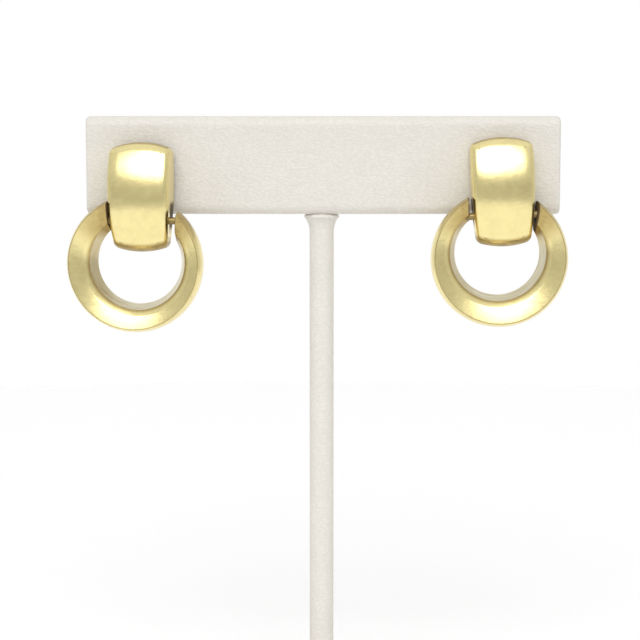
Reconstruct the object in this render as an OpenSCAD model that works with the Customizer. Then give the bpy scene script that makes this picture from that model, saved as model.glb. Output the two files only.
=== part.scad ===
// A pair of doorknocker earrings hung on a plain T-shaped display stand.
// Each earring is a hollow domed plaque on an ear post, with a graduated ring
// that swings on a pin through the plaque's side walls.
// +Z is up, the fronts face -Y, and the origin is the centre of the foot's underside.

/* [Stand] */
// Width of the panel that carries the pair
panel_w = 114.3; // [100:0.1:140]
// Height of the panel
panel_h = 23.6; // [22:0.1:30]
// Thickness of the panel
panel_t = 10; // [9:0.1:12]
// Radius of the panel's long edges
panel_edge_r = 2.4; // [1:0.1:3]
// Radius of the panel's short edges and corners
panel_end_r = 0.9; // [0.3:0.1:1.5]
// Sideways place of the panel's middle from the stem
panel_shift = 0.4; // [-1:0.1:1]
// Height of the panel's lower edge above the table
panel_z = 129; // [110:1:150]
// Diameter of the stem
stem_d = 5.9; // [5:0.1:8]
// Diameter of the stem's flared top
flare_d = 8.5; // [8.5:0.1:10]
// Height of the flare
flare_h = 4.4; // [3:0.1:6]
// Radius of the flare's rounded rim
flare_rim_r = 0.7; // [0.3:0.1:1]
// Diameter of the stem's tenon in the panel
tenon_d = 4; // [3:0.1:5]
// Length of the tenon
tenon_l = 9; // [5:0.5:15]
// Diameter of the round foot
base_d = 70; // [60:1:90]
// Thickness of the foot
base_t = 9; // [7:0.5:14]
// Radius of the foot's upper edge
base_edge_r = 1.6; // [0.5:0.1:3]
// Depth of the stem's socket in the foot
socket_depth = 6.5; // [4:0.5:6.5]

/* [Domed plaque] */
// Height of the plaque
dome_h = 26.1; // [24:0.1:28]
// Half width of the plaque where it is widest
dome_half_w = 7.52; // [7:0.01:7.6]
// Height of the widest place above the plaque's middle
dome_widest_z = 5.5; // [3:0.1:6]
// Radius of the plaque's bowed sides, seen from the front
dome_side_r = 140; // [90:1:160]
// Radius of the plaque's top edge, seen from the front
dome_top_r = 18; // [16:0.5:30]
// Radius of the plaque's bottom edge, seen from the front
dome_bottom_r = 18.6; // [16:0.1:30]
// Radius of the plaque's four corners
dome_corner_r = 1.8; // [1.1:0.1:2]
// Depth from the rear rim to the crown
dome_depth = 8.2; // [7:0.1:8.5]
// Radius of the front from top to bottom, seen from the side
dome_front_r = 24; // [22:0.5:30]
// Radius of the front across its width
dome_crown_r = 40; // [30:1:80]
// Radius of the roll-over at the top and bottom ends
dome_end_r = 2; // [1.5:0.1:2.5]
// Radius of the long front edges
dome_edge_r = 1.2; // [1.2:0.1:1.5]
// Thickness of the plaque's wall
dome_wall = 0.9; // [0.7:0.05:0.9]

/* [Ring] */
// Radius of the ridge round the ring's front face
ring_ridge_r = 15.45; // [15:0.05:16]
// Radius of the crisp inner edge of the front face
ring_inner_r = 11.55; // [11:0.05:12]
// Depth of the ring from front to back
ring_t = 6.4; // [5.6:0.1:6.8]
// How far the outer wall flares past the ridge towards the back
outer_flare = 1; // [0.4:0.05:1.2]
// How far the inner wall closes in towards the back
inner_flare = 1.35; // [1:0.05:1.7]
// Distance behind the middle of the ring's depth where its outer wall is widest
widest_back = 0.8; // [0.4:0.1:1.9]
// Distance behind the middle of the ring's depth where its hole is narrowest
neck_back = 2.3; // [1.5:0.1:2.5]
// Size of the bevel round the ring's rear edges
rear_bevel = 0.6; // [0.3:0.1:0.8]
// Radius of the front face's slight crown
face_r = 41; // [30:1:60]
// Slope of the front face beside its inner band, inwards from the ridge
face_slope = 20; // [14:0.5:24]
// Fall of the front face from the ridge to its inner band
face_fall = 1.35; // [0.8:0.05:1.5]
// Width of the band that rolls over to the inner edge
inner_band = 0.9; // [0.6:0.05:1.2]
// Radius of the inner band's roll
band_r = 2.1; // [1.9:0.1:4]
// Slope of the inner band where it leaves the front face
band_slope = 26; // [22:0.5:32]
// Width of the opening that the plaque hangs in
slot_w = 16.5; // [15.8:0.1:17]
// Slant of the opening's right end, its top outwards
end_slant = 7; // [0:0.5:8]

/* [Pin and post] */
// Diameter of the swing pin
pin_d = 1.7; // [1.2:0.1:1.8]
// Length of the pin inside each end of the ring
pin_hold = 1; // [0.8:0.1:1.2]
// Height of the pin above the ring's centre
pivot_up = 10.3; // [10:0.05:11.2]
// Distance of the pin behind the middle of the ring's depth
pivot_back = 0.5; // [0.4:0.05:1.4]
// Depth of the pin below the plaque's middle
pivot_drop = 5.55; // [4.5:0.05:6]
// Distance of the pin in front of the plaque's rear rim
pivot_fore = 4.2; // [3.4:0.1:4.6]
// Angle at which a ring hangs, its foot swung back
hang_tilt = 0.5; // [0:0.1:10]
// Diameter of the ear post
post_d = 0.9; // [0.7:0.05:1.2]
// Height of the ear post above the plaque's middle
post_up = 6.5; // [5:0.1:8]
// Diameter of the clutch behind the panel
clutch_d = 5.5; // [4:0.1:7]
// Length of the clutch along the post
clutch_l = 4; // [3:0.1:6]
// Length of the post behind the clutch
post_tip = 1.2; // [0.5:0.1:2]

/* [Places on the stand] */
// Left plaque's sideways place
left_x = -42.8; // [-46:0.1:-40]
// Left plaque's middle above the panel's lower edge
left_up = 4.3; // [2:0.1:6]
// Left earring's turn towards the left
left_turn = 6.5; // [0:0.5:10]
// Left earring's lean on its post, its foot towards the left
left_lean = 0; // [-4:0.5:4]
// How far the left ring has slid to the right on its pin
left_slide = 0.7; // [-0.8:0.05:0.8]
// Sideways place of the left ring's centre from the middle of its opening
left_ring_x = -2.05; // [-2.5:0.05:0]
// Sideways place of the left ring's hole from the ring's centre
left_hole_x = 0.8; // [-1.2:0.05:1.2]
// Height of the left ring's hole above the ring's centre
left_hole_z = 0.5; // [0.2:0.05:1.5]
// Right plaque's sideways place
right_x = 43; // [40:0.1:46]
// Right plaque's middle above the panel's lower edge
right_up = 5.5; // [3:0.1:7]
// Right earring's turn towards the left
right_turn = 0; // [0:0.5:10]
// Right earring's lean on its post, its foot towards the left
right_lean = -2; // [-4:0.5:4]
// How far the right ring has slid to the right on its pin
right_slide = -0.15; // [-0.8:0.05:0.8]
// Sideways place of the right ring's centre from the middle of its opening
right_ring_x = -1.1; // [-2.5:0.05:0]
// Sideways place of the right ring's hole from the ring's centre
right_hole_x = -0.4; // [-1.2:0.05:1.2]
// Height of the right ring's hole above the ring's centre
right_hole_z = 1.4; // [0.2:0.05:1.5]

/* [Hidden] */
$fn = 96;
gold = "#cdbf7c";
leatherette = "#e5e1d8";
fit = 0.05;           // clearance round pins, posts and tenons
seat_gap = 0.3;       // gap between the plaque's rim and the panel
post_clearance = 0.3; // clearance round the post in the panel
past = 1;             // how far a cutting form runs past the surface that it cuts
edge_spare = 0.05;    // how far the forms that trim the plaque's front stand clear of it
corner_spare = 0.03;  // how far the plaque's corner arcs reach past a smooth joint
corner_reach = 3;     // how far the forms that round the plaque's corners reach past them
face_reach = 3;       // how far the form behind the ring's front face reaches past the ring
post_root = 1.2;      // how far below the crown the post starts, inside the wall
ring_half_t = ring_t / 2;
ring_widest_r = ring_ridge_r + outer_flare;
ring_neck_r = ring_inner_r - inner_flare;
dome_front_c = dome_front_r - dome_depth;
// One row for each earring, with these columns
X = 0;
UP = 1;
TURN = 2;
LEAN = 3;
SLIDE = 4;
RING_X = 5;
HOLE_X = 6;
HOLE_Z = 7;
left_place = [left_x, left_up, left_turn, left_lean, left_slide,
              left_ring_x, left_hole_x, left_hole_z];
right_place = [right_x, right_up, right_turn, right_lean, right_slide,
               right_ring_x, right_hole_x, right_hole_z];
// Distance of a turned plaque's middle in front of the panel, so that its rear edge clears it
function stand_off(turn) = seat_gap + dome_half_w * sin(turn);
// Distance along the post from the plaque's rim to the back of the panel
function panel_depth(turn) = (stand_off(turn) + panel_t) / cos(turn);

// Radius of an arc that departs by the given sagitta from its tangent over the given run
function arc_radius(run, sagitta) = (run * run + sagitta * sagitta) / (2 * sagitta);

// Where a circle at c1 meets a circle at c2, on the left (1) or right (-1) of the way to c2
function circles_meet(c1, r1, c2, r2, hand) =
    let (way = c2 - c1,
         d = norm(way),
         along = (r1 * r1 - r2 * r2 + d * d) / (2 * d),
         side = sqrt(r1 * r1 - along * along))
    c1 + along * way / d + hand * side * [-way.y, way.x] / d;

module rounded_rect(w, h, r) {
    square([w - 2 * r, h], center = true);
    square([w, h - 2 * r], center = true);
    for (x = [-1, 1], y = [-1, 1])
        translate([x * (w / 2 - r), y * (h / 2 - r)]) circle(r);
}

// What rounds a corner to a radius about a centre, between the directions to its two sides
module corner_cut(centre, r, to_a, to_b) {
    near = r / 2;
    far = r + corner_reach;
    translate(centre) difference() {
        polygon([near * to_a, far * to_a, far * to_b, near * to_b]);
        circle(r + corner_spare);
    }
}

// Outline with an arc crowned at the origin, half as wide as given on each side, rounded at
// its two shoulders and closed by a straight back
module crowned_outline(arc_r, half, shoulder_r, back) {
    shoulder_v = half - shoulder_r;
    shoulder_u = arc_r - sqrt(pow(arc_r - shoulder_r, 2) - pow(shoulder_v, 2));
    difference() {
        intersection() {
            translate([arc_r, 0]) circle(arc_r, $fn = 360);
            translate([0, -half]) square([back, 2 * half]);
        }
        for (side = [-1, 1]) {
            centre = [shoulder_u, side * shoulder_v];
            corner_cut(centre, shoulder_r, (centre - [arc_r, 0]) / (arc_r - shoulder_r), [0, side]);
        }
    }
}

// The panel, grown on every side by the given gap
module panel_form(gap) {
    w = panel_w + 2 * gap;
    h = panel_h + 2 * gap;
    t = panel_t + 2 * gap;
    translate([panel_shift, 0, panel_z + panel_h / 2]) intersection() {
        rotate([90, 0, 90]) linear_extrude(w, center = true)
            rounded_rect(t, h, panel_edge_r + gap);
        linear_extrude(h, center = true) rounded_rect(w, t, panel_end_r + gap);
        rotate([90, 0, 0]) linear_extrude(t, center = true) rounded_rect(w, h, panel_end_r + gap);
    }
}

module stand_base() color(leatherette) difference() {
    rotate_extrude() {
        square([base_d / 2, base_t - base_edge_r]);
        square([base_d / 2 - base_edge_r, base_t]);
        translate([base_d / 2 - base_edge_r, base_t - base_edge_r]) circle(base_edge_r);
    }
    translate([0, 0, base_t - socket_depth]) cylinder(h = socket_depth + past, d = stem_d + 2 * fit);
}

module stand_stem() color(leatherette) difference() {
    stem_r = stem_d / 2;
    flare_top = panel_z + panel_edge_r;
    flare_foot = panel_z - flare_h;
    flare_out = (flare_d - stem_d) / 2;
    rim_z = panel_z - flare_rim_r;
    sweep_h = rim_z - flare_foot;
    sweep_r = arc_radius(sweep_h, flare_out);
    stem_foot = base_t - socket_depth + fit;
    rotate_extrude() {
        translate([0, stem_foot]) square([stem_r, flare_top - stem_foot]);
        difference() {
            translate([0, flare_foot]) square([flare_d / 2, sweep_h]);
            translate([stem_r + sweep_r, flare_foot]) circle(sweep_r);
        }
        translate([0, rim_z]) square([flare_d / 2 - flare_rim_r, flare_top - rim_z]);
        translate([flare_d / 2 - flare_rim_r, rim_z]) circle(flare_rim_r);
    }
    difference() {
        panel_form(fit);
        cylinder(h = panel_z + tenon_l, d = tenon_d);
    }
}

module stand_panel() color(leatherette) difference() {
    panel_form(0);
    translate([0, 0, panel_z - past]) cylinder(h = tenon_l + fit + past, d = tenon_d + 2 * fit);
    for (place = [left_place, right_place])
        at_earring(place) translate([0, -past, post_up]) rotate([-90, 0, 0])
            cylinder(h = panel_depth(place[TURN]) + 2 * past, d = post_d + 2 * post_clearance, $fn = 32);
}

// Carries a shape from the plaque's own place, its rear rim at y = 0, to the stand
module at_earring(place) {
    translate([place[X], -panel_t / 2 - stand_off(place[TURN]), panel_z + place[UP] + post_up])
        rotate([0, 0, -place[TURN]]) rotate([0, place[LEAN], 0])
            translate([0, 0, -post_up]) children();
}

// Front outline of the plaque, drawn in by the given inset
module dome_outline(inset) {
    side_r = dome_side_r - inset;
    side_c = [dome_half_w - dome_side_r, dome_widest_z];
    end_r = [dome_top_r - inset, dome_bottom_r - inset];
    end_c = [[0, dome_h / 2 - dome_top_r], [0, dome_bottom_r - dome_h / 2]];
    corner_r = dome_corner_r - inset;
    corner_c = [for (i = [0, 1])
        circles_meet(side_c, side_r - corner_r, end_c[i], end_r[i] - corner_r, i == 0 ? 1 : -1)];
    difference() {
        intersection() {
            translate(side_c) circle(side_r, $fn = 720);
            mirror([1, 0]) translate(side_c) circle(side_r, $fn = 720);
            translate(end_c[0]) circle(end_r[0], $fn = 180);
            translate(end_c[1]) circle(end_r[1], $fn = 180);
        }
        for (i = [0, 1], side = [0, 1]) mirror([side, 0])
            corner_cut(corner_c[i], corner_r, (corner_c[i] - side_c) / (side_r - corner_r),
                       (corner_c[i] - end_c[i]) / (end_r[i] - corner_r));
    }
}

// The plaque's domed form, drawn in by the given inset and closed at the given depth
module dome_form(inset, back) {
    intersection() {
        translate([0, inset - edge_spare - dome_depth, 0]) rotate([90, 0, 90])
            linear_extrude(2 * dome_half_w + past, center = true)
                crowned_outline(dome_front_r + edge_spare - inset, dome_h / 2 - inset,
                                dome_end_r - inset, dome_depth + edge_spare - inset + back);
        translate([0, dome_front_c, 0]) rotate([0, 90, 0]) rotate_extrude($fn = 180)
            translate([dome_front_r - inset, 0]) mirror([1, 0])
                crowned_outline(dome_crown_r - inset, dome_half_w + edge_spare - inset,
                                dome_edge_r - inset, dome_front_r / 2);
        translate([0, back, 0]) rotate([90, 0, 0]) linear_extrude(dome_depth + back)
            dome_outline(inset);
    }
}

module dome(place) color(gold) at_earring(place) {
    difference() {
        dome_form(0, 0);
        dome_form(dome_wall, past);
        translate([0, -pivot_fore, -pivot_drop]) rotate([0, 90, 0])
            cylinder(h = 2 * dome_half_w + 2 * past, d = pin_d + 2 * fit, center = true, $fn = 32);
    }
    post_l = panel_depth(place[TURN]) + dome_depth - post_root + clutch_l + post_tip;
    translate([0, post_root - dome_depth, post_up]) rotate([-90, 0, 0])
        cylinder(h = post_l, d = post_d, $fn = 32);
}

module pin(place) color(gold) at_earring(place)
    translate([place[SLIDE], -pivot_fore, -pivot_drop]) rotate([0, 90, 0])
        cylinder(h = slot_w + 2 * pin_hold, d = pin_d, center = true, $fn = 32);

// Profile of the ring's outer form: x is the distance from its centre and y runs front to back
module outer_profile() {
    wall_r = arc_radius(widest_back + ring_half_t, outer_flare);
    intersection() {
        union() {
            translate([0, -ring_half_t - past]) square([ring_inner_r, ring_t + past]);
            translate([ring_widest_r - wall_r, widest_back]) circle(wall_r);
        }
        polygon([[0, -ring_half_t - past], [ring_widest_r + past, -ring_half_t - past],
                 [ring_widest_r + past, ring_half_t - rear_bevel - past],
                 [ring_widest_r - rear_bevel, ring_half_t], [0, ring_half_t]]);
    }
}

// Profile of what lies behind the ring's front face, about the hole's centre
module face_profile() {
    start = [ring_inner_r + inner_band, face_fall - ring_half_t];
    intersection() {
        translate([0, -ring_t]) square([ring_widest_r + face_reach, 2 * ring_t]);
        translate(start + face_r * [sin(face_slope), cos(face_slope)]) circle(face_r, $fn = 720);
    }
}

// Profile of the ring's hole, with the band that rolls over to the front face's inner edge
module hole_profile() {
    start = [ring_inner_r + inner_band, face_fall - ring_half_t];
    centre = start + band_r * [sin(band_slope), cos(band_slope)];
    edge_y = centre.y - sqrt(pow(band_r, 2) - pow(centre.x - ring_inner_r, 2));
    bevel_y = ring_half_t - rear_bevel;
    polygon([[0, -ring_t], [ring_inner_r, -ring_t], [ring_inner_r, edge_y], [ring_neck_r, neck_back],
             [ring_neck_r, ring_t], [0, ring_t]]);
    difference() {
        polygon([[0, -ring_t], [start.x, -ring_t], start, [ring_inner_r, edge_y], [0, edge_y]]);
        translate(centre) circle(band_r);
    }
    polygon([[0, bevel_y], [ring_neck_r, bevel_y],
             [ring_neck_r + rear_bevel + past, ring_half_t + past], [0, ring_half_t + past]]);
}

// Sideways place of the opening's right end at a height above the ring's centre
function right_end_x(height) = slot_w / 2 + (height - pivot_up) * tan(end_slant);

// The ring about its own centre, its axis along Y
module ring_form(place) {
    slot_x = -place[RING_X];
    hole = [place[HOLE_X], 0, place[HOLE_Z]];
    difference() {
        intersection() {
            rotate([-90, 0, 0]) rotate_extrude($fn = 180) outer_profile();
            translate(hole) rotate([-90, 0, 0]) rotate_extrude($fn = 180) face_profile();
        }
        translate(hole) rotate([-90, 0, 0]) rotate_extrude($fn = 180) hole_profile();
        translate([slot_x, ring_t, 0]) rotate([90, 0, 0]) linear_extrude(2 * ring_t)
            polygon([[-slot_w / 2, 0], [-slot_w / 2, 2 * ring_ridge_r],
                     [right_end_x(2 * ring_ridge_r), 2 * ring_ridge_r], [right_end_x(0), 0]]);
        translate([slot_x, pivot_back, pivot_up]) rotate([0, 90, 0])
            cylinder(h = slot_w + 2 * pin_hold + 2 * fit, d = pin_d + 2 * fit, center = true, $fn = 32);
    }
}

module ring(place) color(gold) at_earring(place)
    translate([place[SLIDE], -pivot_fore, -pivot_drop]) rotate([hang_tilt, 0, 0])
        translate([place[RING_X], -pivot_back, -pivot_up]) ring_form(place);

module clutch(place) color(gold) at_earring(place) {
    seat = panel_depth(place[TURN]) + clutch_d / 2 * sin(place[TURN]) + fit;
    translate([0, seat, post_up]) rotate([-90, 0, 0]) difference() {
        cylinder(h = clutch_l, d = clutch_d);
        translate([0, 0, -past]) cylinder(h = clutch_l + 2 * past, d = post_d + 2 * fit, $fn = 32);
    }
}

module left_dome() dome(left_place);
module left_pin() pin(left_place);
module left_ring() ring(left_place);
module left_clutch() clutch(left_place);
module right_dome() dome(right_place);
module right_pin() pin(right_place);
module right_ring() ring(right_place);
module right_clutch() clutch(right_place);

stand_base();
stand_stem();
stand_panel();
left_dome();
left_pin();
left_ring();
left_clutch();
right_dome();
right_pin();
right_ring();
right_clutch();
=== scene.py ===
import math

import bmesh
import bpy
from mathutils import Matrix, Vector


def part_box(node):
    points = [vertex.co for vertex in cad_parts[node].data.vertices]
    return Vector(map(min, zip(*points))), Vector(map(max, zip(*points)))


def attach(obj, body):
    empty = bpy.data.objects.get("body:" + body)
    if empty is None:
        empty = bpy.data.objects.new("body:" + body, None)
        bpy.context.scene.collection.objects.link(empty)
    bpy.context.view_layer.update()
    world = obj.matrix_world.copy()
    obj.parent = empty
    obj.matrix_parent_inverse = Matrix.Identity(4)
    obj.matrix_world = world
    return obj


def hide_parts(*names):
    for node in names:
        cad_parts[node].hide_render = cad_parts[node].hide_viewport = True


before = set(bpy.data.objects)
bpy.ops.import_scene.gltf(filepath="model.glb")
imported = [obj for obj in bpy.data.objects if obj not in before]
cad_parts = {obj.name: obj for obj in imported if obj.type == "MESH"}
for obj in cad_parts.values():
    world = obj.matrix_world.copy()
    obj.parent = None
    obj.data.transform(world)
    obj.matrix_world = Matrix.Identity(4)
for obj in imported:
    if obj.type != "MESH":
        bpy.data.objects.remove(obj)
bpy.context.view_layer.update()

MM = 0.001

# The stand, with all lengths here in millimetres
PANEL_EDGE_R = 2.4
PANEL_END_R = 0.9
STEM_D = 5.9
FLARE_D = 8.5
FLARE_H = 4.4
FLARE_RIM_R = 0.7
TENON_D = 4
TENON_L = 9
BASE_EDGE_R = 1.6
SOCKET_DEPTH = 6.5
FELT_T = 0.9
# The lap of the stem's covering: its two angles in degrees, and its height
STEM_LAP = (86, 97)
STEM_LAP_H = 0.12

# The plaque: its outline, its crowned front, its rounded edges and its wall
DOME_H = 26.1
DOME_HALF_W = 7.52
DOME_WIDEST_Z = 5.5
DOME_SIDE_R = 140
DOME_TOP_R = 18
DOME_BOTTOM_R = 18.6
DOME_CORNER_R = 1.8
DOME_DEPTH = 8.2
DOME_FRONT_R = 24
DOME_CROWN_R = 40
DOME_END_R = 2
DOME_EDGE_R = 1.2
CORNER_EDGE_R = 1.7
DOME_WALL = 0.9
# How far out the front's sides begin to ease back, and on what radius
SIDE_EASE_FROM = 4.7
SIDE_EASE_R = 13
# The soft rear rim: its depth, and its curve as fractions across and back
RIM = 0.15
RIM_CURVE = ((0.05, 1.0), (0.5, 0.86), (0.86, 0.5))

# The ring: its walls, its sloping face, its band and its ends, with slopes in degrees
RING_RIDGE_R = 15.45
RING_INNER_R = 11.55
RING_T = 6.4
OUTER_FLARE = 1
INNER_FLARE = 1.35
WIDEST_BACK = 0.8
NECK_BACK = 2.3
REAR_BEVEL = 0.6
FACE_R = 41
FACE_SLOPE = 20
FACE_FALL = 1.35
INNER_BAND = 0.9
BAND_R = 2.1
BAND_SLOPE = 26
# The roll round the hole, eased a little wider than the solid's band
ROLL_W = 1.35
ROLL_SLOPE = 34
# How far the ends are rounded off, and the ridge softened
ROUND_OFF = 0.12
RIDGE_SOFT = 0.14
SLOT_W = 16.5
END_SLANT = 7

# The swing pin, and its pivot as seen from the ring's centre and from the plaque's
PIN_D = 1.7
PIN_HOLD = 1
PIVOT_UP = 10.3
PIVOT_BACK = 0.5
PIVOT_DROP = 5.55
PIVOT_FORE = 4.2
HANG_TILT = 0.5

# The ear post, its clutch, and the gaps between pieces
POST_D = 0.9
POST_UP = 6.5
CLUTCH_D = 5.5
CLUTCH_L = 4
POST_TIP = 1.2
SEAT_GAP = 0.3
FIT = 0.05

# How finely the meshes are cut
SIDE_STEPS = 64
CORNER_STEPS = 10
END_STEPS = 18
EDGE_STEPS = 12
RING_STEPS = 240
POST_SIDES = 24
PIN_SIDES = 48
CLUTCH_SIDES = 64
STEM_SIDES = 144
FOOT_SIDES = 192
FLOOR_SIDES = 96
# Fractions of the plaque's side, from its rim to its rounded edge, where the mesh has a loop
SIDE_LEVELS = (0, 0.03, 0.3, 0.6, 0.9, 0.97)

# How strongly painted shade darkens each place of the metal, from 0 (clean) to 1 (black)
HOLLOW_SHADE = 0.45
BESIDE_SHADE = 0.92
LOWER_EDGE_SHADE = 0.58
PIN_SHADE = 0.65
END_SHADE = 0.95
NEAR_END_SHADE = 0.5
ROLL_SHADE = 0.5
RIDGE_SHADE = 0.3
WALL_SHADE = 0.26

# Each earring's place on the panel with its turn and lean, its ring's slide on the pin and its
# grading, and how far the ring's ends slant toward the rear
PLACES = {
    "left": dict(
        x=-42.8, up=4.3, turn=6.5, lean=0, slide=0.7,
        ring_x=-2.05, hole_x=0.8, hole_z=0.5, slant=0),
    "right": dict(
        x=43, up=5.5, turn=0, lean=-2, slide=-0.15,
        ring_x=-1.1, hole_x=-0.4, hole_z=1.4, slant=0.5),
}

panel_low, panel_high = [[c / MM for c in corner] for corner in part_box("stand_panel")]
base_low, base_high = [[c / MM for c in corner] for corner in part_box("stand_base")]
PANEL_Z = panel_low[2]
PANEL_T = panel_high[1] - panel_low[1]
BASE_D = base_high[0] - base_low[0]
BASE_T = base_high[2]


# Meshes

def new_object(name, verts, faces, body, nodes, material):
    """A smooth mesh from points in millimetres, which rides on a body and stands for its nodes."""
    mesh = bpy.data.meshes.new(name)
    mesh.from_pydata([Vector(v) * MM for v in verts], [], faces)
    bm = bmesh.new()
    bm.from_mesh(mesh)
    bmesh.ops.remove_doubles(bm, verts=bm.verts, dist=1e-6)
    bmesh.ops.recalc_face_normals(bm, faces=bm.faces)
    bm.to_mesh(mesh)
    bm.free()
    mesh.polygons.foreach_set("use_smooth", [True] * len(mesh.polygons))
    obj = bpy.data.objects.new(name, mesh)
    bpy.context.scene.collection.objects.link(obj)
    obj.data.materials.append(material)
    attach(obj, body)
    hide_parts(*nodes)
    return obj


def paint_shade(obj, back, rule):
    """Writes on each vertex how much painted shade darkens the metal there, from 0 to 1, by its place in
    the piece.
    """
    painted_shade = obj.data.attributes.new("painted_shade", "FLOAT", "POINT")
    painted_shade.data.foreach_set("value", [rule(back @ (v.co / MM)) for v in obj.data.vertices])


def eased(value, start, end):
    """0 before start and 1 past end, with a soft rise between them."""
    f = min(1, max(0, (value - start) / (end - start)))
    return f * f * (3 - 2 * f)


def sharpen(obj, degrees):
    """Keeps the edges sharp that turn by more than an angle."""
    obj.data.set_sharp_from_angle(angle=math.radians(degrees))


def grid_faces(rows, columns, first=0, closed_columns=False):
    """Four-sided faces over rows of vertices that are numbered from first."""
    faces = []
    for i in range(rows - 1):
        for j in range(columns if closed_columns else columns - 1):
            a = first + i * columns + j
            b = first + i * columns + (j + 1) % columns
            c = first + (i + 1) * columns + (j + 1) % columns
            d = first + (i + 1) * columns + j
            faces.append((a, b, c, d))
    return faces


def arc(centre, r, start, end, steps):
    """Points on a circle from one angle to another, in degrees."""
    points = []
    for k in range(steps + 1):
        t = math.radians(start + (end - start) * k / steps)
        points.append((centre[0] + r * math.cos(t), centre[1] + r * math.sin(t)))
    return points


def lathe(profile, segments):
    """Vertices and faces of a (radius, height) profile turned about Z."""
    verts = []
    for r, z in profile:
        for k in range(segments):
            t = 2 * math.pi * k / segments
            verts.append((r * math.cos(t), r * math.sin(t), z))
    return verts, grid_faces(len(profile), segments, closed_columns=True)


def arc_radius(run, sagitta):
    """Radius of an arc that falls by sagitta over a run from its crown."""
    return (run * run + sagitta * sagitta) / (2 * sagitta)


def carried(matrix, verts):
    return [matrix @ Vector(v) for v in verts]


def turned(axis, degrees):
    return Matrix.Rotation(math.radians(degrees), 4, axis)


def stand_off(place):
    """How far the rear rim's middle is from the panel, so that a turned plaque clears it."""
    return SEAT_GAP + DOME_HALF_W * math.sin(math.radians(place["turn"]))


def panel_depth(place):
    """Distance along the post from the rear rim to the panel's back."""
    return (stand_off(place) + PANEL_T) / math.cos(math.radians(place["turn"]))


def at_earring(place):
    """Carries points from the plaque's own place, its rear rim at y = 0, to the stand."""
    post = Vector((place["x"], -PANEL_T / 2 - stand_off(place), PANEL_Z + place["up"] + POST_UP))
    turn = turned("Z", -place["turn"]) @ turned("Y", place["lean"])
    return Matrix.Translation(post) @ turn @ Matrix.Translation((0, 0, -POST_UP))


def at_ring(place):
    """Carries points from the ring's own centre to the stand."""
    pivot = Matrix.Translation((place["slide"], -PIVOT_FORE, -PIVOT_DROP))
    centre = Matrix.Translation((place["ring_x"], -PIVOT_BACK, -PIVOT_UP))
    return at_earring(place) @ pivot @ turned("X", HANG_TILT) @ centre


# Plaque

def circles_meet(c1, r1, c2, r2, hand):
    """Where two circles meet, on the left (1) or right (-1) of the way from c1 to c2."""
    way = Vector(c2) - Vector(c1)
    d = way.length
    along = (r1 * r1 - r2 * r2 + d * d) / (2 * d)
    side = math.sqrt(r1 * r1 - along * along)
    return Vector(c1) + way * (along / d) + Vector((-way.y, way.x)) * (hand * side / d)


def outline_run(centre, radius, start, end, steps, edge_a, edge_b):
    """Points on an arc between two normals, with the edge radius going from one value to another."""
    points = []
    for k in range(steps):
        f = k / steps
        normal = start.slerp(end, f) if start.angle(end) > 1e-6 else start
        points.append((centre + normal * radius, normal, edge_a + (edge_b - edge_a) * f))
    return points


def plaque_outline():
    """Points round the plaque's outline from the front, with their normals and edge radii."""
    side_c = Vector((DOME_HALF_W - DOME_SIDE_R, DOME_WIDEST_Z))
    top_c = Vector((0, DOME_H / 2 - DOME_TOP_R))
    bottom_c = Vector((0, DOME_BOTTOM_R - DOME_H / 2))
    r = DOME_CORNER_R
    top = circles_meet(side_c, DOME_SIDE_R - r, top_c, DOME_TOP_R - r, 1)
    bottom = circles_meet(side_c, DOME_SIDE_R - r, bottom_c, DOME_BOTTOM_R - r, -1)
    side_low = (bottom - side_c).normalized()
    side_high = (top - side_c).normalized()
    end_high = (top - top_c).normalized()
    end_low = (bottom - bottom_c).normalized()
    up, down = Vector((0, 1)), Vector((0, -1))
    right = outline_run(bottom_c, DOME_BOTTOM_R, down, end_low, END_STEPS, DOME_END_R, CORNER_EDGE_R)
    right += outline_run(bottom, r, end_low, side_low, CORNER_STEPS, CORNER_EDGE_R, DOME_EDGE_R)
    right += outline_run(side_c, DOME_SIDE_R, side_low, side_high, SIDE_STEPS, DOME_EDGE_R, DOME_EDGE_R)
    right += outline_run(top, r, side_high, end_high, CORNER_STEPS, DOME_EDGE_R, CORNER_EDGE_R)
    right += outline_run(top_c, DOME_TOP_R, end_high, up, END_STEPS, CORNER_EDGE_R, DOME_END_R)
    right.append((top_c + up * DOME_TOP_R, up, DOME_END_R))
    left = [(Vector((-p.x, p.y)), Vector((-n.x, n.y)), e) for p, n, e in reversed(right[1:-1])]
    return right + left


def crown_y(x, z, inset):
    """Depth of the plaque's crowned front, or of its hollow's, at a place seen from the front."""
    across = DOME_CROWN_R - inset
    past = max(0, abs(x) - SIDE_EASE_FROM)
    side_ease = past * past / (2 * SIDE_EASE_R)
    r = DOME_FRONT_R - inset - (across - math.sqrt(across * across - x * x)) - side_ease
    return DOME_FRONT_R - DOME_DEPTH - math.sqrt(r * r - z * z)


def shell_loops(outline, inset, first_y):
    """Loops from a rim up the side and over the rounded edge of the plaque, or of its hollow."""
    loops = []
    edge_y = []
    for p, n, e in outline:
        q = p - n * inset
        edge_y.append(crown_y(q.x, q.y, inset) + e - inset)
    for f in SIDE_LEVELS:
        loops.append([(p.x - n.x * inset, first_y + (y - first_y) * f, p.y - n.y * inset)
                      for (p, n, e), y in zip(outline, edge_y)])
    for k in range(EDGE_STEPS + 1):
        angle = math.radians(90 * k / EDGE_STEPS)
        loop = []
        for p, n, e in outline:
            r = e - inset
            q = p - n * (inset + r * (1 - math.cos(angle)))
            loop.append((q.x, crown_y(q.x, q.y, inset) + r * (1 - math.sin(angle)), q.y))
        loops.append(loop)
    return loops


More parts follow.
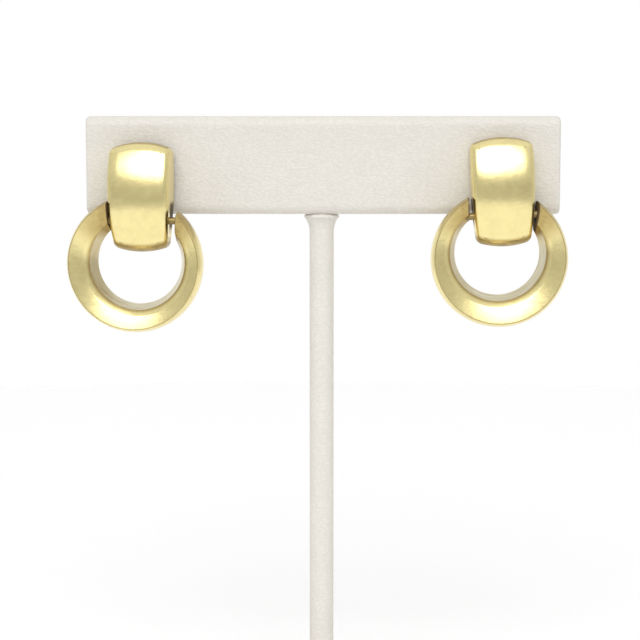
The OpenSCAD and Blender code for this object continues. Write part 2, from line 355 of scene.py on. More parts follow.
def crown_patch(loop, inset):
    """A grid over the crowned front inside its outline loop, with its counts of rows and columns."""
    count = len(loop)
    first = END_STEPS + CORNER_STEPS // 2
    rows = SIDE_STEPS + CORNER_STEPS
    columns = 2 * END_STEPS + CORNER_STEPS
    flat = [Vector((x, z)) for x, y, z in loop]
    right = [flat[first + i] for i in range(rows + 1)]
    left = [flat[count - first - i] for i in range(rows + 1)]
    low = [flat[(count - first + j) % count] for j in range(columns + 1)]
    high = [flat[first + rows + columns - j] for j in range(columns + 1)]
    verts = []
    for i in range(rows + 1):
        v = i / rows
        for j in range(columns + 1):
            u = j / columns
            corners = (low[0] * (1 - u) + low[-1] * u) * (1 - v) + (high[0] * (1 - u) + high[-1] * u) * v
            p = low[j] * (1 - v) + high[j] * v + left[i] * (1 - u) + right[i] * u - corners
            verts.append((p.x, crown_y(p.x, p.y, inset), p.y))
    return verts, rows + 1, columns + 1


def plaque(side, place, metal):
    """The hollow plaque: two shells that meet in a soft rear rim, and the ear post."""
    outline = plaque_outline()
    outer = shell_loops(outline, 0, -RIM)
    inner = shell_loops(outline, DOME_WALL, -RIM)
    outer_rim = []
    inner_rim = []
    for across, back in RIM_CURVE:
        step = RIM * (1 - across)
        y = -RIM * (1 - back)
        outer_rim.append([(p.x - n.x * step, y, p.y - n.y * step) for p, n, e in outline])
        step = DOME_WALL - step
        inner_rim.append([(p.x - n.x * step, y, p.y - n.y * step) for p, n, e in outline])
    loops = outer[::-1] + outer_rim[::-1] + inner_rim + inner
    verts = [v for loop in loops for v in loop]
    faces = grid_faces(len(loops), len(outline), closed_columns=True)
    for loop, inset in ((outer[-1], 0), (inner[-1], DOME_WALL)):
        patch, rows, columns = crown_patch(loop, inset)
        faces += grid_faces(rows, columns, first=len(verts))
        verts += patch
    post_verts, post_faces = post(place)
    first = len(verts)
    verts += post_verts
    faces += [tuple(i + first for i in face) for face in post_faces]
    obj = new_object(side + "_plaque", carried(at_earring(place), verts), faces,
                     "root", [side + "_dome"], metal)
    # Painted shade on the plaque: dark beside the ring's ends and inside, brown along the lower edge
    paint_shade(obj, at_earring(place).inverted(), plaque_shade)


def plaque_shade(p):
    """Painted shade: dark beside the ring's ends and inside, brown along the lower edge."""
    front = crown_y(p.x, p.z, 0)
    hollow = eased(p.y - front, DOME_WALL * 0.7, DOME_WALL) * eased(DOME_HALF_W - abs(p.x), 0.75, 0.85)
    side = eased(abs(p.x), DOME_HALF_W - 0.85, DOME_HALF_W - 0.45) * eased(p.y - front, 1.6, 2.8)
    beside = side * eased(-p.z, 0.6, 2) * (1 - eased(-p.z, 8.6, 10))
    bow = DOME_BOTTOM_R - math.sqrt(DOME_BOTTOM_R ** 2 - p.x * p.x)
    edge = 1 - eased(p.z + DOME_H / 2 - bow, 1.1, 2.2)
    return max(HOLLOW_SHADE * hollow, BESIDE_SHADE * beside, LOWER_EDGE_SHADE * edge)


def post(place):
    """The ear post with the fillet of solder that holds it inside the plaque."""
    r = POST_D / 2
    root = -crown_y(0, POST_UP, DOME_WALL)
    tip = panel_depth(place) + CLUTCH_L + POST_TIP
    # Radii with their distances: the solder from the plaque's inside, the notch and the end from the tip
    solder = [(0, -0.3), (1.3, -0.3), (1.25, 0.1), (0.85, 0.25), (0.6, 0.45), (r + 0.03, 0.9), (r, 1.1)]
    notch = [(r, 1.9), (r - 0.06, 1.75), (r - 0.06, 1.45), (r, 1.3)]
    end = [(r, 0.35), (r * 0.92, 0.15), (r * 0.7, 0.04), (0, 0)]
    profile = [(out, along - root) for out, along in solder]
    profile += [(out, tip - along) for out, along in notch + end]
    verts, faces = lathe(profile, POST_SIDES)
    return [(x, h, z + POST_UP) for x, z, h in verts], [face[::-1] for face in faces]


def pin(side, place, metal):
    """The swing pin, with its ends bevelled."""
    bevel = 0.1
    half = SLOT_W / 2 + PIN_HOLD - bevel
    r = PIN_D / 2
    profile = [(0, -half), (r - bevel, -half), (r, -half + bevel)]
    profile += [(r, half - bevel), (r - bevel, half), (0, half)]
    verts, faces = lathe(profile, PIN_SIDES)
    verts = [(h + place["slide"], y - PIVOT_FORE, x - PIVOT_DROP) for x, y, h in verts]
    obj = new_object(side + "_swing_pin", carried(at_earring(place), verts), faces,
                     "root", [side + "_pin"], metal)
    # The whole pin is painted brown and darker as shade in the slot
    paint_shade(obj, Matrix(), lambda p: PIN_SHADE)
    sharpen(obj, 30)


def clutch(side, place, metal):
    """A round friction back: a flat pad against the panel and a waisted barrel behind it."""
    r = CLUTCH_D / 2
    hole = POST_D / 2 + FIT
    pad = [(hole, 0.1), (hole + 0.1, 0), (r - 0.3, 0)] + arc((r - 0.35, 0.35), 0.35, -90, 90, 8)
    barrel = arc((r - 0.1, 1.5), 0.6, -150, -225, 8) + arc((r - 1.25, 3.25), 0.75, 20, 90, 8)
    end = [(hole + 0.45, CLUTCH_L), (hole + 0.2, CLUTCH_L - 0.15), (hole, CLUTCH_L - 0.4), (hole, 0.1)]
    verts, faces = lathe(pad + barrel + end, CLUTCH_SIDES)
    seat = panel_depth(place) + r * math.sin(math.radians(place["turn"])) + FIT
    verts = [(x, h + seat, z + POST_UP) for x, z, h in verts]
    obj = new_object(side + "_post_back", carried(at_earring(place), verts), faces,
                     "root", [side + "_clutch"], metal)
    sharpen(obj, 40)


# Ring

# Fractions along each stretch of the ring's section where the mesh has a line
WALL_LINES = (0.985, 0.85, 0.7, 0.55, 0.4, 0.27, 0.15, 0.06)
RIDGE_LINES = (0, 0.25, 0.5, 0.75, 1)
FACE_LINES = (0.94, 0.86, 0.76, 0.66, 0.56, 0.46, 0.36, 0.26, 0.17, 0.09, 0.03)
ROLL_LINES = (0.97, 0.85, 0.7, 0.55, 0.4, 0.28, 0.18, 0.1, 0.04, 0.01)
HOLE_LINES = (0.01, 0.04, 0.12, 0.3, 0.5, 0.7, 0.88, 0.97, 1.01)

HALF_T = RING_T / 2
WIDEST_R = RING_RIDGE_R + OUTER_FLARE
NECK_R = RING_INNER_R - INNER_FLARE
BAND_START = (RING_INNER_R + INNER_BAND, FACE_FALL - HALF_T)


def disc_y(r, disc_r, slope):
    """Depth at a radius on an arc that leaves the band's start with the given slope."""
    slope = math.radians(slope)
    reach = BAND_START[0] + disc_r * math.sin(slope) - r
    return BAND_START[1] + disc_r * math.cos(slope) - math.sqrt(disc_r * disc_r - reach * reach)


EDGE_Y = disc_y(RING_INNER_R, BAND_R, BAND_SLOPE)
ROLL_START = (RING_INNER_R + ROLL_W, disc_y(RING_INNER_R + ROLL_W, FACE_R, FACE_SLOPE))


def roll_y(r):
    """Depth on the roll, which leaves the face steeply and steepens to the hole's edge."""
    f = (ROLL_START[0] - r) / ROLL_W
    fall = ROLL_W * math.tan(math.radians(ROLL_SLOPE))
    return ROLL_START[1] + fall * f + (EDGE_Y - ROLL_START[1] - fall) * f * f


def outer_radius(y):
    r = arc_radius(WIDEST_BACK + HALF_T, OUTER_FLARE)
    return WIDEST_R - r + math.sqrt(r * r - (y - WIDEST_BACK) ** 2)


def inner_radius(y):
    return RING_INNER_R - INNER_FLARE * min(1, (y - EDGE_Y) / (NECK_BACK - EDGE_Y))


def ring_section():
    """The ring's section as (kind, value, y) points, from the outer wall over the face to the back."""
    bevel_y = HALF_T - REAR_BEVEL
    section = [("wall", f, None) for f in WALL_LINES]
    section += [("ridge", f, None) for f in RIDGE_LINES]
    section += [("face", f, None) for f in FACE_LINES]
    for f in ROLL_LINES:
        r = RING_INNER_R + ROLL_W * f
        section.append(("inner", r, roll_y(r)))
    for f in HOLE_LINES:
        y = EDGE_Y + (NECK_BACK - EDGE_Y) * f
        section.append(("inner", inner_radius(y), y))
    bevel = REAR_BEVEL
    section += [("inner", NECK_R, bevel_y - 0.05), ("inner", NECK_R + 0.08, bevel_y + 0.08),
                ("inner", NECK_R + bevel - 0.12, HALF_T - 0.1), ("inner", NECK_R + bevel, HALF_T),
                ("inner", NECK_R + bevel + 0.3, HALF_T), ("outer", WIDEST_R - bevel - 0.3, HALF_T),
                ("outer", WIDEST_R - bevel, HALF_T), ("outer", WIDEST_R - bevel + 0.12, HALF_T - 0.1),
                ("outer", outer_radius(bevel_y) - 0.08, bevel_y + 0.08)]
    return section


def ridge_point(place, c, s):
    """Where the outer wall meets the front face."""
    y = -HALF_T
    for _ in range(10):
        r = outer_radius(y)
        y = disc_y(math.hypot(r * c - place["hole_x"], r * s - place["hole_z"]), FACE_R, FACE_SLOPE)
    return Vector((r * c, y, r * s))


def on_face(place, p):
    """The point of the front face straight before or behind p."""
    r = math.hypot(p.x - place["hole_x"], p.z - place["hole_z"])
    return Vector((p.x, disc_y(r, FACE_R, FACE_SLOPE), p.z))


def ring_point(place, kind, value, y, angle):
    """A point of the ring's section at an angle round it."""
    c, s = math.cos(math.radians(angle)), math.sin(math.radians(angle))
    hole = Vector((place["hole_x"], 0, place["hole_z"]))
    if kind == "outer":
        return Vector((value * c, y, value * s))
    if kind == "inner":
        return hole + Vector((value * c, y, value * s))
    ridge = ridge_point(place, c, s)
    if kind == "wall":
        y = ridge.y + RIDGE_SOFT + (HALF_T - REAR_BEVEL - ridge.y - RIDGE_SOFT) * value
        r = outer_radius(y)
        return Vector((r * c, y, r * s))
    start = hole + Vector((ROLL_START[0] * c, 0, ROLL_START[0] * s))
    soft = RIDGE_SOFT / (ridge - start).length
    if kind == "face":
        return on_face(place, start.lerp(ridge, value * (1 - soft)))
    r = outer_radius(ridge.y + RIDGE_SOFT)
    wall = Vector((r * c, ridge.y + RIDGE_SOFT, r * s))
    face = on_face(place, start.lerp(ridge, 1 - soft))
    return wall.lerp(ridge, value).lerp(ridge.lerp(face, value), value)


def end_angle(place, point, right, past):
    """Angle at which a line of the section meets an end of the opening, moved into the ring by past."""
    slot_x = -place["ring_x"]

    def beyond(angle):
        p = ring_point(place, *point, angle)
        inward = past - place["slant"] * (p.y + HALF_T) / RING_T
        if right:
            edge = slot_x + SLOT_W / 2 + (p.z - PIVOT_UP) * math.tan(math.radians(END_SLANT)) + inward
            return p.x - edge
        return slot_x - SLOT_W / 2 - inward - p.x

    low, high = (450, 360) if right else (90, 180)
    for _ in range(40):
        middle = (low + high) / 2
        if beyond(middle) < 0:
            low = middle
        else:
            high = middle
    return (low + high) / 2


def shrunk(loop, by):
    centre = sum(loop, Vector()) / len(loop)
    return [p + (centre - p).normalized() * by for p in loop]


def ring(side, place, metal, satin):
    """The graduated ring, open at the top, with its ends rounded off."""
    section = ring_section()
    loops = []
    starts = [end_angle(place, point, False, ROUND_OFF) for point in section]
    ends = [end_angle(place, point, True, ROUND_OFF) for point in section]
    for k in range(RING_STEPS + 1):
        f = k / RING_STEPS
        loops.append([ring_point(place, *point, a + (b - a) * f)
                      for point, a, b in zip(section, starts, ends)])
    for right in (False, True):
        faces_of_end = []
        for past, by in ((ROUND_OFF * 0.3, ROUND_OFF * 0.3), (0, ROUND_OFF)):
            loop = [ring_point(place, *point, end_angle(place, point, right, past)) for point in section]
            faces_of_end.append(shrunk(loop, by))
        loops = loops + faces_of_end if right else faces_of_end[::-1] + loops
    count = len(section)
    verts = [v for loop in loops for v in loop]
    faces = grid_faces(len(loops), count, closed_columns=True)
    faces.append(tuple(range(count)))
    faces.append(tuple(range((len(loops) - 1) * count, len(loops) * count)))
    obj = new_object(side + "_swing_ring", carried(at_ring(place), verts), faces,
                     side + "_ring", [side + "_ring"], metal)
    obj.data.materials.append(satin)
    back = at_ring(place).inverted()
    mark_satin(obj, place, back)
    # Painted shade on the ring: its ends, near them, its roll, its ridge and the left of its inner wall
    paint_shade(obj, back, lambda p: ring_shade(place, p))
    sharpen(obj, 38)


def end_gap(place, p):
    """Distance into the ring from its nearer end, or a long way in the lower half."""
    slot_x = -place["ring_x"]
    right_end = slot_x + SLOT_W / 2 + (p.z - PIVOT_UP) * math.tan(math.radians(END_SLANT))
    return max(slot_x - SLOT_W / 2 - p.x, p.x - right_end) if p.z > 0 else 20


def mark_satin(obj, place, back):
    """Gives the ring's inner wall its brushed finish."""
    hole = Vector((place["hole_x"], 0, place["hole_z"]))
    for face in obj.data.polygons:
        p = back @ (face.center / MM)
        q = p - hole
        if math.hypot(q.x, q.z) < RING_INNER_R and EDGE_Y < p.y < HALF_T - REAR_BEVEL:
            face.material_index = 1


def ring_shade(place, p):
    """Painted shade: dark on the ends, brown near them, in the roll round the hole, along the ridge and on
    the left of the inner wall.
    """
    gap = end_gap(place, p)
    q = math.hypot(p.x - place["hole_x"], p.z - place["hole_z"])
    roll = eased(p.y, BAND_START[1] + 0.05, BAND_START[1] + 0.4)
    roll *= eased(-q, -BAND_START[0], -RING_INNER_R)
    roll *= 1 - eased(p.y, EDGE_Y + 0.02, EDGE_Y + 0.4)
    along = gap + max(0, PIVOT_UP - 2 - p.z)
    near = 0.3 * (1 - eased(along, 0, 2.5)) + 0.42 * (1 - eased(along, 2, 10))
    reach = math.hypot(p.x, p.z)
    ridge = 1 - eased((p - ridge_point(place, p.x / reach, p.z / reach)).length, 0.07, 0.22)
    wall = eased(-q, -RING_INNER_R, 0.05 - RING_INNER_R) * eased(place["hole_x"] - p.x, 4, 10)
    end = 1 - eased(gap, 0.02, ROUND_OFF + 0.03)
    return max(END_SHADE * end, min(NEAR_END_SHADE, near),
               ROLL_SHADE * roll, RIDGE_SHADE * ridge, WALL_SHADE * wall)


# Stand

# Depths between the panel's rounded edges that have a loop, and its loops inward over the front and
# the back, where each has a drop that makes the groove round the lining
PANEL_SIDE_LEVELS = (-2.2, -1, 0, 1, 2.2)
FRONT_INSETS = (0.4, 1.2, 3, 6)
BACK_INSETS = (
    (0.4, 0), (1.1, 0), (1.25, 0.04), (1.4, 0.16), (1.5, 0.3), (1.62, 0.3),
    (1.7, 0.16), (1.85, 0.05), (2.1, 0.02), (4, 0.02), (6, 0.02))


def rounded_rectangle(half_w, half_h, r, steps):
    """Points round a rectangle with rounded corners, from its lower right."""
    points = []
    for cx, cy, start in ((1, -1, -90), (1, 1, 0), (-1, 1, 90), (-1, -1, 180)):
        points += arc((cx * (half_w - r), cy * (half_h - r)), r, start, start + 90, steps)
    return points


def panel(leather):
    """The covered panel, front to back, with the let-in lining on its back."""
    half_w = (panel_high[0] - panel_low[0]) / 2
    half_h = (panel_high[2] - panel_low[2]) / 2
    middle = ((panel_high[0] + panel_low[0]) / 2, (panel_high[2] + panel_low[2]) / 2)
    front, back = -PANEL_T / 2, PANEL_T / 2
    levels = []
    roll = 14
    for k in range(roll + 1):
        a = math.radians(90 * k / roll)
        levels.append((front + PANEL_EDGE_R * (1 - math.cos(a)), PANEL_EDGE_R * (1 - math.sin(a))))
    levels += [(y, 0) for y in PANEL_SIDE_LEVELS]
    levels += [(-y, inset) for y, inset in reversed(levels[:roll + 1])]
    loops = []
    corner_steps = 8
    for y, inset in levels:
        end_y = min(y - front, back - y)
        end_inset = 0
        if end_y < PANEL_END_R:
            end_inset = PANEL_END_R - math.sqrt(PANEL_END_R ** 2 - (PANEL_END_R - end_y) ** 2)
        loops.append([(x, y, z) for x, z in rounded_rectangle(half_w - end_inset, half_h - inset,
                                                              PANEL_END_R, corner_steps)])
    last_w, last_h = half_w - PANEL_END_R, half_h - PANEL_EDGE_R
    for inset in FRONT_INSETS:
        loops.insert(0, [(x, front, z) for x, z in rounded_rectangle(
            last_w - inset, last_h - inset, PANEL_END_R, corner_steps)])
    for inset, drop in BACK_INSETS:
        loops.append([(x, back - drop, z) for x, z in rounded_rectangle(
            last_w - inset, last_h - inset, PANEL_END_R, corner_steps)])
    count = len(loops[0])
    verts = [(x + middle[0], y, z + middle[1]) for loop in loops for x, y, z in loop]
    faces = grid_faces(len(loops), count, closed_columns=True)
    faces.append(tuple(range(count)))
    faces.append(tuple(range((len(loops) - 1) * count, len(loops) * count)))
    obj = new_object("panel_covering", verts, faces, "root", ["stand_panel"], leather)
    sharpen(obj, 50)


def stem(leather):
    """The wrapped stem with its flared top and the lap of its covering behind."""
    r = STEM_D / 2
    out = (FLARE_D - STEM_D) / 2
    flare_z = PANEL_Z - FLARE_H
    rim_z = PANEL_Z - FLARE_RIM_R
    sweep = rim_z - flare_z
    sweep_r = arc_radius(sweep, out)
    floor_z = BASE_T - SOCKET_DEPTH + FIT
    profile = [(0, floor_z), (r, floor_z), (r, BASE_T - 0.2)]
    profile += [(r, BASE_T + (flare_z - BASE_T) * k / 40) for k in range(41)]
    for k in range(1, 13):
        z = flare_z + (sweep - 0.1) * k / 12
        profile.append((r + sweep_r - math.sqrt(sweep_r ** 2 - (z - flare_z) ** 2), z))
    profile += arc((FLARE_D / 2 - FLARE_RIM_R, rim_z), FLARE_RIM_R, -18, 90, 10)
    profile += [(FLARE_D / 2 - FLARE_RIM_R, PANEL_Z + 1.5), (TENON_D / 2, PANEL_Z + 1.6),
                (TENON_D / 2, PANEL_Z + TENON_L), (0, PANEL_Z + TENON_L)]
    verts, faces = lathe(profile, STEM_SIDES)
    lap_from, lap_to = STEM_LAP
    lapped = []
    for x, y, z in verts:
        angle = math.degrees(math.atan2(y, x))
        if lap_from < angle < lap_to and BASE_T < z < flare_z:
            radius = math.hypot(x, y)
            rise = STEM_LAP_H * min(1, (angle - lap_from) / 1.5) * (lap_to - angle) / (lap_to - lap_from)
            x, y = x * (radius + rise) / radius, y * (radius + rise) / radius
        lapped.append((x, y, z))
    obj = new_object("stem_covering", lapped, faces, "root", ["stand_stem"], leather)
    sharpen(obj, 50)


def foot(leather, felt):
    """The covered round foot with the stem's hole, and the felt pad beneath it."""
    r = BASE_D / 2
    hole = STEM_D / 2 + FIT
    edge = BASE_EDGE_R
    top = BASE_T
    underside = FELT_T
    profile = [(hole, top - 1), (hole, top - 0.35), (hole + 0.1, top - 0.12)]
    profile += [(hole + 0.35, top), (hole + 1, top)]
    profile += [(hole + 1 + (r - edge - hole - 1) * k / 12, top) for k in range(1, 13)]
    profile += arc((r - edge, top - edge), edge, 88, 0, 14)
    profile += [(r, top / 2), (r, underside + 0.5)] + arc((r - 0.5, underside + 0.5), 0.5, 0, -90, 6)
    profile += [(r - 1.2, underside), (0, underside)]
    verts, faces = lathe(profile, FOOT_SIDES)
    covering = new_object("foot_covering", verts, faces, "root", ["stand_base"], leather)
    sharpen(covering, 50)
    pad = [(0, underside + 0.05), (r - 1.5, underside + 0.05), (r - 1.2, underside - 0.1)]
    pad += [(r - 1.15, underside / 2), (r - 1.2, 0.12), (r - 1.35, 0), (0, 0)]
    verts, faces = lathe(pad, FOOT_SIDES)
    felt_pad = new_object("foot_felt", verts, faces, "root", ["stand_base"], felt)
    sharpen(felt_pad, 50)


# Materials

class Nodes:
    """Short calls to build a material's or the world's nodes."""

    def __init__(self, tree):
        self.tree = tree

    def add(self, kind, **settings):
        node = self.tree.nodes.new(kind)
        inputs = settings.pop("inputs", {})
        for key, value in settings.items():
            setattr(node, key, value)
        for key, value in inputs.items():
            if isinstance(value, bpy.types.NodeSocket):
                self.tree.links.new(value, node.inputs[key])
            else:
                node.inputs[key].default_value = value
        return node

    def math(self, operation, a, b=0.0, clamp=False):
        node = self.add("ShaderNodeMath", operation=operation, use_clamp=clamp, inputs={0: a, 1: b})
        return node.outputs[0]

    def along(self, vector, direction):
        return self.add("ShaderNodeVectorMath", operation="DOT_PRODUCT",
                        inputs={0: vector, 1: direction}).outputs["Value"]

    def ramp(self, value, stops):
        node = self.add("ShaderNodeValToRGB", inputs={0: value})
        elements = node.color_ramp.elements
        while len(elements) < len(stops):
            elements.new(0.5)
        for element, (place, colour) in zip(elements, stops):
            element.position = place
            element.color = (*colour, 1) if isinstance(colour, tuple) else (colour, colour, colour, 1)
        return node.outputs["Color"]

    def noise(self, vector, scale, detail=2.0, roughness=0.5):
        return self.add("ShaderNodeTexNoise", inputs={
            "Vector": vector, "Scale": scale, "Detail": detail, "Roughness": roughness}).outputs["Fac"]

    def mix(self, factor, a, b):
        node = self.add("ShaderNodeMix", data_type="RGBA")
        self.feed(node.inputs[0], factor)
        self.feed(node.inputs[6], a)
        self.feed(node.inputs[7], b)
        return node.outputs[2]

    def feed(self, socket, value):
        if isinstance(value, bpy.types.NodeSocket):
            self.tree.links.new(value, socket)
        else:
            socket.default_value = (*value, 1) if isinstance(value, tuple) else value

    def stretched(self, scale):
        place = self.add("ShaderNodeTexCoord").outputs["Object"]
        return self.add("ShaderNodeMapping", inputs={"Vector": place, "Scale": scale}).outputs["Vector"]


def new_material(name):
    material = bpy.data.materials.new(name)
    material.use_nodes = True
    nodes = Nodes(material.node_tree)
    shader = material.node_tree.nodes["Principled BSDF"]
    return material, nodes, shader


def link(nodes, shader, socket, value):
    nodes.tree.links.new(value, shader.inputs[socket])


def bump(nodes, shader, height, strength, distance):
    """Raises the surface by a height pattern, with the distance in metres."""
    node = nodes.add("ShaderNodeBump", inputs={
        "Strength": strength, "Distance": distance, "Height": height})
    link(nodes, shader, "Normal", node.outputs["Normal"])


# Colours, as linear red, green and blue
GOLD = (0.94, 0.815, 0.40)
GOLD_DEEP = (0.87, 0.745, 0.355)
# Painted shade on the metal goes through this brown to this near black
SHADE_BROWN = (0.50, 0.375, 0.145)
DEEP_SHADE = (0.115, 0.078, 0.032)
BRUSHED_DARK = (0.62, 0.54, 0.33)
BRUSHED = (0.84, 0.78, 0.57)
BRUSHED_PALE = (0.94, 0.90, 0.74)
LEATHER = (0.775, 0.75, 0.70)
CLEAN = (1.0, 1.0, 1.0)
GROOVE_DARKER = (0.90, 0.885, 0.86)
FELT_DARK = (0.42, 0.40, 0.36)
FELT_PALE = (0.58, 0.56, 0.51)

# Noise scales below are per metre, so that 1000 gives a grain of about a millimetre


def finish_metal(nodes, shader, clean, rough):
    """Sets the metal's colour and gloss, going brown and then dull and dark where painted shade is written
    on a piece.
    """
    # Reads the painted shade written on the vertices, made patchy by a noise
    painted_shade = nodes.add("ShaderNodeAttribute", attribute_name="painted_shade").outputs["Fac"]
    shade_mottle = nodes.noise(nodes.stretched((1, 1, 1)), 650, 3, 0.6)
    patchy = nodes.math("ADD", nodes.math("MULTIPLY", shade_mottle, 0.5), 0.75)
    amount = nodes.math("MULTIPLY", painted_shade, patchy, True)
    brown = nodes.mix(nodes.ramp(amount, [(0.0, 0.0), (0.5, 1.0)]), clean, SHADE_BROWN)
    dark = nodes.ramp(amount, [(0.5, 0.0), (0.85, 1.0)])
    link(nodes, shader, "Base Color", nodes.mix(dark, brown, DEEP_SHADE))
    link(nodes, shader, "Metallic", nodes.math("SUBTRACT", 1.0, dark))
    link(nodes, shader, "Roughness", nodes.math("ADD", rough, nodes.math("MULTIPLY", dark, 0.5)))


def polished_gold():
    """Polished gold-toned metal with fine specks, faint handling marks and fine scratches."""
    material, nodes, shader = new_material("polished_gold")
    place = nodes.stretched((1, 1, 1))
    cloud = nodes.noise(place, 330, 5, 0.65)
    specks = nodes.noise(place, 1900, 3, 0.7)
    mottle = nodes.math("ADD", cloud, nodes.math("MULTIPLY", specks, 0.6))
    tint = nodes.ramp(mottle, [(0.70, GOLD), (1.0, GOLD_DEEP)])
    smudge = nodes.noise(nodes.stretched((1, 1, 1.6)), 420, 4, 0.6)
    scratch = nodes.noise(nodes.stretched((9, 9, 1)), 900, 2, 0.7)
    rough = nodes.math("ADD", nodes.math("MULTIPLY", smudge, 0.2), nodes.math("MULTIPLY", scratch, 0.04))
    finish_metal(nodes, shader, tint, nodes.math("ADD", rough, 0.1))
    waves = nodes.noise(place, 480, 4, 0.6)
    height = nodes.math("ADD", nodes.math("MULTIPLY", scratch, 0.08), waves)
    bump(nodes, shader, height, strength=1.0, distance=0.000028)
    return material


def brushed_gold():
    """The ring's inner wall, brushed round the hole."""
    material, nodes, shader = new_material("brushed_gold")
    lines = nodes.noise(nodes.stretched((0.5, 12, 0.5)), 260, 4, 0.65)
    tint = nodes.ramp(lines, [(0.34, BRUSHED_DARK), (0.5, BRUSHED), (0.68, BRUSHED_PALE)])
    fine = nodes.noise(nodes.stretched((0.6, 30, 0.6)), 1100, 3, 0.7)
    finish_metal(nodes, shader, tint, nodes.math("ADD", nodes.math("MULTIPLY", fine, 0.22), 0.2))
    bump(nodes, shader, fine, strength=0.25, distance=0.00003)
    return material


def leatherette(name, colour, creases):
    """Off-white leatherette: a fine pebble grain drawn out in short creases along the panel."""
    material, nodes, shader = new_material(name)
    place = nodes.stretched((1, 1, 1))
    warped = nodes.add("ShaderNodeVectorMath", operation="MULTIPLY_ADD", inputs={
        0: nodes.add("ShaderNodeTexNoise", inputs={"Vector": place, "Scale": 1300.0}).outputs["Color"],
        1: (0.0007, 0.0007, 0.0007), 2: nodes.stretched((0.5, 1, 1))}).outputs["Vector"]
    pebbles = nodes.add("ShaderNodeTexVoronoi", feature="F1", inputs={
        "Vector": warped, "Scale": 2000.0}).outputs["Distance"]
    folds = nodes.noise(nodes.stretched((0.35, 1, 1)), 2300, 3, 0.6)
    swell = nodes.noise(nodes.stretched((0.6, 1, 1)), 150, 3, 0.5)
    shade = nodes.ramp(swell, [(0.35, tuple(c * 0.975 for c in colour)), (0.65, colour)])
    # Darker in the grain's grooves and folds
    groove_darkening = nodes.ramp(nodes.math("ADD", pebbles, nodes.math("MULTIPLY", folds, 0.5)), [
        (0.35, CLEAN), (0.85, GROOVE_DARKER)])
    tinted = nodes.add("ShaderNodeMix", data_type="RGBA", blend_type="MULTIPLY")
    tinted.inputs[0].default_value = 0.75
    nodes.feed(tinted.inputs[6], shade)
    nodes.feed(tinted.inputs[7], groove_darkening)
    link(nodes, shader, "Base Color", tinted.outputs[2])
    link(nodes, shader, "Roughness", nodes.math("ADD", nodes.math("MULTIPLY", folds, 0.2), 0.38))
    shader.inputs["Specular IOR Level"].default_value = 0.35
    grain = nodes.math("SUBTRACT", nodes.math("MULTIPLY", folds, creases),
                       nodes.math("MULTIPLY", pebbles, 0.9))
    height = nodes.math("ADD", grain, nodes.math("MULTIPLY", swell, 1.2))
    bump(nodes, shader, height, strength=0.8, distance=0.00011)
    return material


def felt_material():
    """Pale pressed felt with short fibres."""
    material, nodes, shader = new_material("pale_felt")
    fibres = nodes.noise(nodes.stretched((1, 1, 1)), 2600, 4, 0.75)
    link(nodes, shader, "Base Color", nodes.ramp(fibres, [(0.3, FELT_DARK), (0.7, FELT_PALE)]))
    shader.inputs["Roughness"].default_value = 0.95
    shader.inputs["Sheen Weight"].default_value = 0.4
    bump(nodes, shader, fibres, strength=0.5, distance=0.0002)
    return material


# Studio

# Brightness of what the camera sees behind the stand, of the darker band and of the soft box
WHITE = 1.0
BAND = 0.53
SOFTBOX = 3.0
# The soft box: how high and how far to the left it is, in degrees, and its half width and half
# height as slopes from the stand
SOFTBOX_LIFT = 38.5
SOFTBOX_ASIDE = 4.5
SOFTBOX_HALF_W = 0.50
SOFTBOX_HALF_H = 0.32
# The floor's radius, and the camera's distance, in metres
FLOOR_R = 0.62
CAMERA_BACK = 0.42
# The camera: what it looks at in millimetres, its pitch in degrees and its lens
CAMERA_TARGET = (-0.4, -5, 103.4)
CAMERA_PITCH = 6
CAMERA_LENS = 97.3


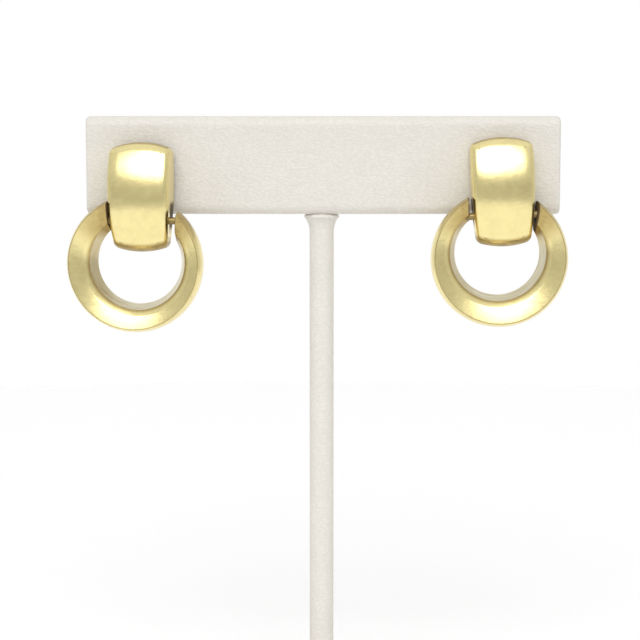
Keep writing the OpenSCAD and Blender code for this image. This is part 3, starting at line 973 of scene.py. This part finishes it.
def studio_world():
    """A white room with a soft box high in front and a darker band at eye level in front."""
    world = bpy.data.worlds.new("studio")
    bpy.context.scene.world = world
    world.use_nodes = True
    tree = world.node_tree
    nodes = Nodes(tree)
    way = nodes.add("ShaderNodeTexCoord").outputs["Generated"]
    parts = nodes.add("ShaderNodeSeparateXYZ", inputs={0: way})
    y, z = parts.outputs["Y"], parts.outputs["Z"]
    # Ordinary light by height, from straight down (0) to straight up (1)
    height = nodes.add("ShaderNodeMath", operation="MULTIPLY_ADD",
                       inputs={0: z, 1: 0.5, 2: 0.5}).outputs[0]
    room = nodes.ramp(height, [(0.0, 0.62), (0.45, 0.62), (0.8, 0.70), (1.0, 0.9)])
    front = nodes.ramp(height, [
        (0.0, 0.6), (0.36, 0.60), (0.40, BAND), (0.56, BAND), (0.66, 0.62), (1.0, 0.9)])
    behind = nodes.ramp(height, [(0.0, 0.8), (0.5, 1.0), (0.8, 0.9), (1.0, 1.0)])
    forward = nodes.ramp(nodes.math("MULTIPLY", y, -1.0, True), [(0.25, 0.0), (0.75, 1.0)])
    backward = nodes.ramp(nodes.math("MULTIPLY", y, 1.0, True), [(0.5, 0.0), (0.9, 1.0)])
    base = nodes.mix(backward, nodes.mix(forward, room, front), behind)
    # The soft box: an oval round a direction up, to the front and a little to the left
    lift = math.radians(SOFTBOX_LIFT)
    aside = math.radians(SOFTBOX_ASIDE)
    toward = Vector((-math.sin(aside) * math.cos(lift), -math.cos(aside) * math.cos(lift), math.sin(lift)))
    across = Vector((math.cos(aside), -math.sin(aside), 0))
    upward = across.cross(toward)
    near = nodes.math("MAXIMUM", nodes.along(way, toward), 0.05)
    u = nodes.math("DIVIDE", nodes.along(way, across), nodes.math("MULTIPLY", near, SOFTBOX_HALF_W))
    v = nodes.math("DIVIDE", nodes.along(way, upward), nodes.math("MULTIPLY", near, SOFTBOX_HALF_H))
    oval = nodes.math("SQRT", nodes.math("ADD", nodes.math("MULTIPLY", u, u), nodes.math("MULTIPLY", v, v)))
    box = nodes.ramp(nodes.math("MULTIPLY", oval, 0.5), [(0.38, 1.0), (0.63, 0.0)])
    lit = nodes.mix(box, base, (SOFTBOX, SOFTBOX, SOFTBOX))
    seen = nodes.add("ShaderNodeLightPath").outputs["Is Camera Ray"]
    final = nodes.mix(seen, lit, (WHITE, WHITE, WHITE))
    background = tree.nodes["Background"]
    tree.links.new(final, background.inputs["Color"])
    background.inputs["Strength"].default_value = 1


def studio_floor():
    """A round pale floor under the stand."""
    mesh = bpy.data.meshes.new("floor")
    rim = [(x, y, 0) for x, y in arc((0, 0), FLOOR_R, 0, 360, FLOOR_SIDES)[:-1]]
    mesh.from_pydata(rim, [], [tuple(range(FLOOR_SIDES))])
    floor = bpy.data.objects.new("floor", mesh)
    bpy.context.scene.collection.objects.link(floor)
    material, nodes, shader = new_material("floor_white")
    shader.inputs["Base Color"].default_value = (0.88, 0.88, 0.88, 1)
    shader.inputs["Emission Color"].default_value = (1, 1, 1, 1)
    shader.inputs["Emission Strength"].default_value = 0.11
    shader.inputs["Roughness"].default_value = 0.9
    shader.inputs["Specular IOR Level"].default_value = 0.1
    mesh.materials.append(material)


def soft_light(name, place, target, size, watts):
    """A round lamp that shines from a place to a target, both in metres, unseen by the camera."""
    data = bpy.data.lights.new(name, "AREA")
    data.shape = "DISK"
    data.size = size
    data.energy = watts
    light = bpy.data.objects.new(name, data)
    light.location = place
    light.rotation_euler = (Vector(target) - Vector(place)).to_track_quat("-Z", "Y").to_euler()
    light.visible_camera = False
    bpy.context.scene.collection.objects.link(light)


def photo_camera():
    """The photograph's view: level with the pair, a little above, from well back."""
    target = Vector(CAMERA_TARGET) * MM
    pitch = math.radians(CAMERA_PITCH)
    data = bpy.data.cameras.new("camera")
    data.lens = CAMERA_LENS
    data.sensor_width = 36
    data.clip_start = 0.01
    camera = bpy.data.objects.new("camera", data)
    camera.location = target + Vector((0, -math.cos(pitch), math.sin(pitch))) * CAMERA_BACK
    camera.rotation_euler = (math.pi / 2 - pitch, 0, 0)
    bpy.context.scene.collection.objects.link(camera)
    bpy.context.scene.camera = camera


gold = polished_gold()
satin_gold = brushed_gold()
cover = leatherette("leatherette_panel", LEATHER, creases=1.0)
stem_cover = leatherette("leatherette_stem", tuple(c * 1.02 for c in LEATHER), creases=0.35)

panel(cover)
stem(stem_cover)
foot(cover, felt_material())
for side, place in PLACES.items():
    plaque(side, place, gold)
    pin(side, place, gold)
    clutch(side, place, gold)
    ring(side, place, gold, satin_gold)

studio_world()
studio_floor()
soft_light("key", place=(-0.03, -0.58, 0.62), target=(0, 0, 0.12), size=0.4, watts=0.8)
photo_camera()
bpy.context.scene.view_settings.view_transform = "Standard"
